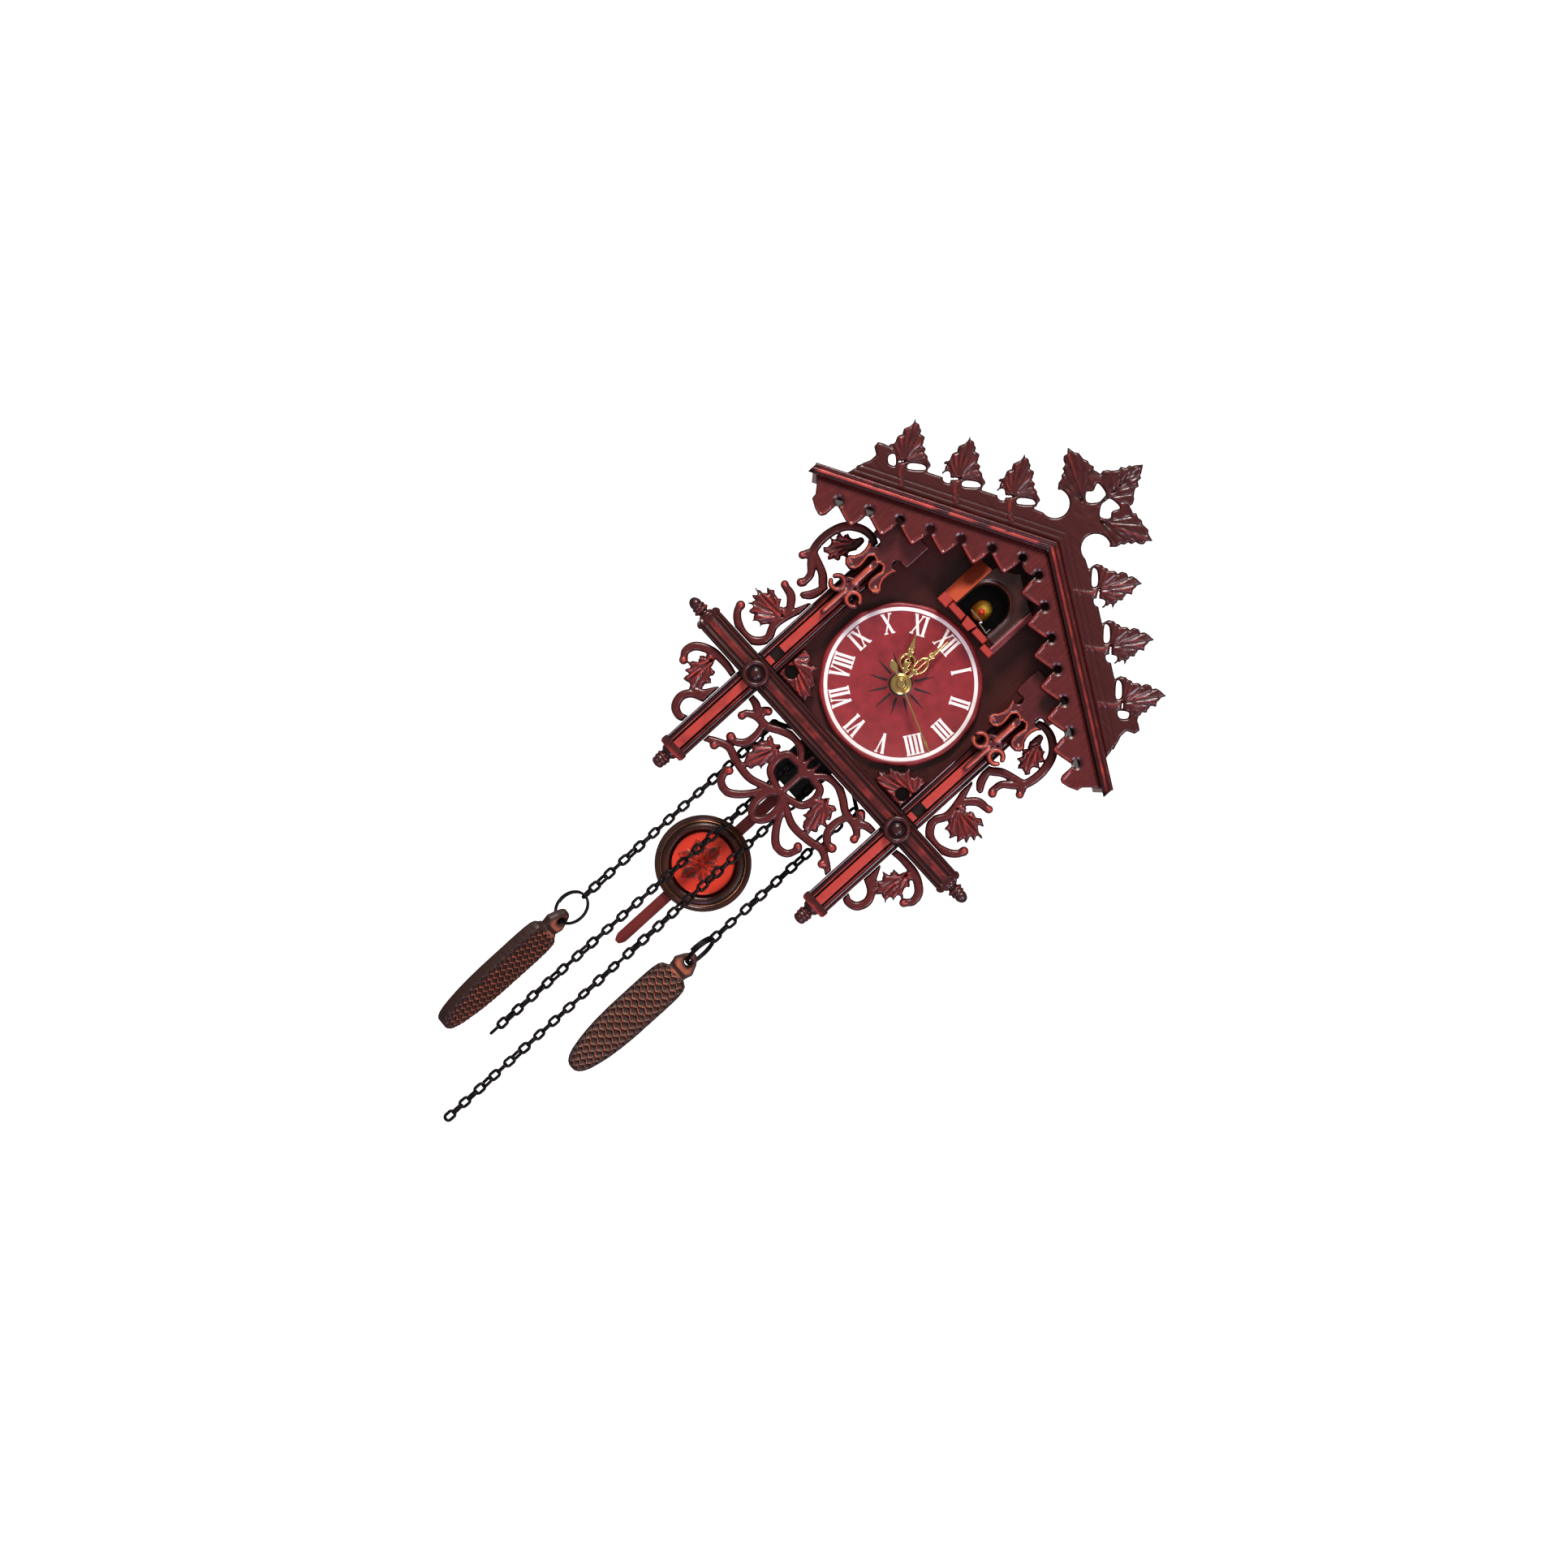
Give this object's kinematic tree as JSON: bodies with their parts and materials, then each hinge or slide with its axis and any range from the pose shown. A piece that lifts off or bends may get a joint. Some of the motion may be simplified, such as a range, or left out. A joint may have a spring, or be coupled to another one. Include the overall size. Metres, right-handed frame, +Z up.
{
  "type": "cuckoo clock",
  "caption": "Wall-hung gabled wooden cuckoo clock with carved crest and vines, round dial, bird niche, pendulum and pine-cone weights on chains.",
  "frame": {"origin": "the point where the axis of the hands meets the wall plane, on the flat rear face", "axes": "+Z up, +X to the right as seen from the front, the front faces -Y and the wall is the plane y = 0"},
  "size_m": [0.244, 0.0973, 0.532],
  "materials": {
    "red_wood": "mahogany-red lacquered wood with brighter worn edges",
    "carved_wood": "mahogany-red lacquered carving",
    "dark_wood": "dark brown stained board",
    "plain_wood": "unpainted plywood",
    "dial_red": "matte crimson with white numerals",
    "gold": "polished gold-coloured metal",
    "steel": "bright steel",
    "black_metal": "black lacquered metal",
    "black_plastic": "black moulded plastic",
    "battery_jacket": "printed plastic jacket",
    "bird_yellow": "painted yellow",
    "beak_red": "painted red",
    "disc_red": "orange-red stained disc with a dark relief",
    "cone_brown": "reddish brown carved scales with light tips"
  },
  "bodies": {
    "case": {"back_panel": "plain_wood", "side_left": "dark_wood", "side_right": "dark_wood", "floor_board": "dark_wood", "front_board": "dark_wood", "hanger_plate": "steel", "roof_left": "red_wood", "roof_right": "red_wood", "door_frame": "red_wood", "post_left": "red_wood", "post_right": "red_wood", "crossbar": "red_wood", "barge_left": "carved_wood", "barge_right": "carved_wood", "fringe_left": "carved_wood", "fringe_right": "carved_wood", "crest_left": "carved_wood", "crest_right": "carved_wood", "crest_top": "carved_wood", "boss_left": "carved_wood", "boss_right": "carved_wood", "corbel_left": "carved_wood", "corbel_right": "carved_wood", "vine_upper_left": "carved_wood", "vine_upper_right": "carved_wood", "vine_middle_left": "carved_wood", "vine_middle_right": "carved_wood", "vine_lower_left": "carved_wood", "vine_lower_right": "carved_wood", "bottom_scroll": "carved_wood", "corner_leaf_left": "carved_wood", "corner_leaf_right": "carved_wood", "bird_box": "black_plastic", "movement_case": "black_plastic", "dial_plate": "dial_red", "shaft_bush": "gold", "battery": "battery_jacket", "chain_hook_left": "black_metal", "chain_hook_right": "black_metal"},
    "hour_wheel": {"hour_hand": "gold"},
    "minute_wheel": {"minute_hand": "gold", "hand_nut": "gold"},
    "second_wheel": {"second_hand": "gold"},
    "set_knob": {"time_set_knob": "black_plastic"},
    "pendulum": {"pendulum_hanger": "steel", "pendulum_rod": "red_wood", "pendulum_bob": "dark_wood", "bob_medallion": "disc_red"},
    "bird": {"bird_body": "bird_yellow", "bird_beak": "beak_red", "perch_wire": "steel"},
    "access_door": {"rear_door": "plain_wood"},
    "strand_outer_left": {"chain_outer_left": "black_metal", "split_ring_left": "black_metal"},
    "weight_left": {"pine_cone_left": "cone_brown"},
    "strand_outer_right": {"chain_outer_right": "black_metal", "split_ring_right": "black_metal"},
    "weight_right": {"pine_cone_right": "cone_brown"},
    "strand_inner_left": {"chain_inner_left": "black_metal"},
    "strand_inner_right": {"chain_inner_right": "black_metal"}
  },
  "joints": [
    {"name": "second_turn", "type": "hinge", "parent": "case", "child": "second_wheel", "pos_m": [0, -0.0765, 0], "axis": [0, 1, 0], "continuous": true},
    {"name": "minute_turn", "type": "hinge", "parent": "case", "child": "minute_wheel", "pos_m": [0, -0.072, 0], "axis": [0, 1, 0], "continuous": true},
    {"name": "hour_turn", "type": "hinge", "parent": "case", "child": "hour_wheel", "pos_m": [0, -0.0705, 0], "axis": [0, 1, 0], "continuous": true},
    {"name": "knob_turn", "type": "hinge", "parent": "case", "child": "set_knob", "pos_m": [-0.012, -0.04, 0], "axis": [0, 1, 0], "continuous": true},
    {"name": "pendulum_swing", "type": "hinge", "parent": "case", "child": "pendulum", "pos_m": [0, -0.036, -0.078], "axis": [0, 1, 0], "range_deg": [-5, 5]},
    {"name": "bird_slide", "type": "slide", "parent": "case", "child": "bird", "axis": [0, -1, 0], "range_m": [0, 0.014]},
    {"name": "door_hinge", "type": "hinge", "parent": "case", "child": "access_door", "pos_m": [-0.03785, 0, -0.001], "axis": [0, 0, 1], "range_deg": [0, 110]},
    {"name": "outer_left_sway", "type": "hinge", "parent": "case", "child": "strand_outer_left", "pos_m": [-0.031, -0.0556, -0.064], "axis": [1, 0, 0], "range_deg": [-4, 2.5]},
    {"name": "left_weight_swing", "type": "hinge", "parent": "strand_outer_left", "child": "weight_left", "pos_m": [-0.031, -0.0556, -0.2296], "axis": [0.9397, -0.342, 0], "range_deg": [-6, 6]},
    {"name": "outer_right_sway", "type": "hinge", "parent": "case", "child": "strand_outer_right", "pos_m": [0.035, -0.0556, -0.064], "axis": [1, 0, 0], "range_deg": [-4, 2.5]},
    {"name": "right_weight_swing", "type": "hinge", "parent": "strand_outer_right", "child": "weight_right", "pos_m": [0.035, -0.0556, -0.1925], "axis": [0, 1, 0], "range_deg": [-6, 6]},
    {"name": "inner_left_sway", "type": "hinge", "parent": "case", "child": "strand_inner_left", "pos_m": [-0.007, -0.0556, -0.058], "axis": [1, 0, 0], "range_deg": [-4, 2.5]},
    {"name": "inner_right_sway", "type": "hinge", "parent": "case", "child": "strand_inner_right", "pos_m": [0.009, -0.0556, -0.058], "axis": [1, 0, 0], "range_deg": [-4, 2.5]}
  ],
  "couplings": [
    {"joint": "minute_turn", "follows": "second_turn", "ratio": 0.016667},
    {"joint": "hour_turn", "follows": "second_turn", "ratio": 0.0013889},
    {"joint": "knob_turn", "follows": "second_turn", "ratio": -0.033333}
  ]
}
